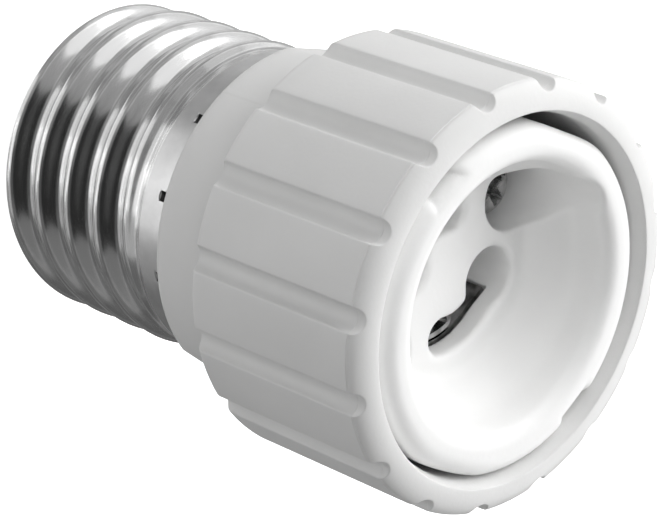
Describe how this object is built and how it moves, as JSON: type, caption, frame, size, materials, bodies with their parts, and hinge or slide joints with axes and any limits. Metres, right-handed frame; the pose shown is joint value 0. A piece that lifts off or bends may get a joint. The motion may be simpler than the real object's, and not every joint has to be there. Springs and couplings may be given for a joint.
{
  "type": "lamp socket adapter",
  "caption": "Ribbed white adapter with a rolled screw cap at one end and a twist-lock two-pin lamp socket in a ceramic insert at the other.",
  "frame": {"origin": "centre of the outer face of the screw cap's tip contact", "axes": "+Z along the axis from the tip to the lamp opening; X through the two fixing screws of the insert"},
  "size_m": [0.0342, 0.0342, 0.0518],
  "materials": {
    "housing": "fine satin moulding, white",
    "ceramic": "unglazed white ceramic, soft sheen",
    "shell": "polished nickel plate",
    "insulator": "white moulding",
    "contact": "nickel plate",
    "screws": "zinc plate",
    "spring": "plated spring strip",
    "rivets": "plain",
    "lead_brown": "insulated wire",
    "lead_blue": "insulated wire"
  },
  "bodies": {
    "root": {"housing": "housing", "socket_insert": "ceramic", "screw_shell": "shell", "tip_insulator": "insulator", "tip_contact": "contact", "fixing_screws": "screws", "contact_spring_a": "spring", "contact_spring_b": "spring", "contact_rivets": "rivets", "lead_to_tip": "lead_brown", "lead_to_shell": "lead_blue"}
  },
  "joints": []
}
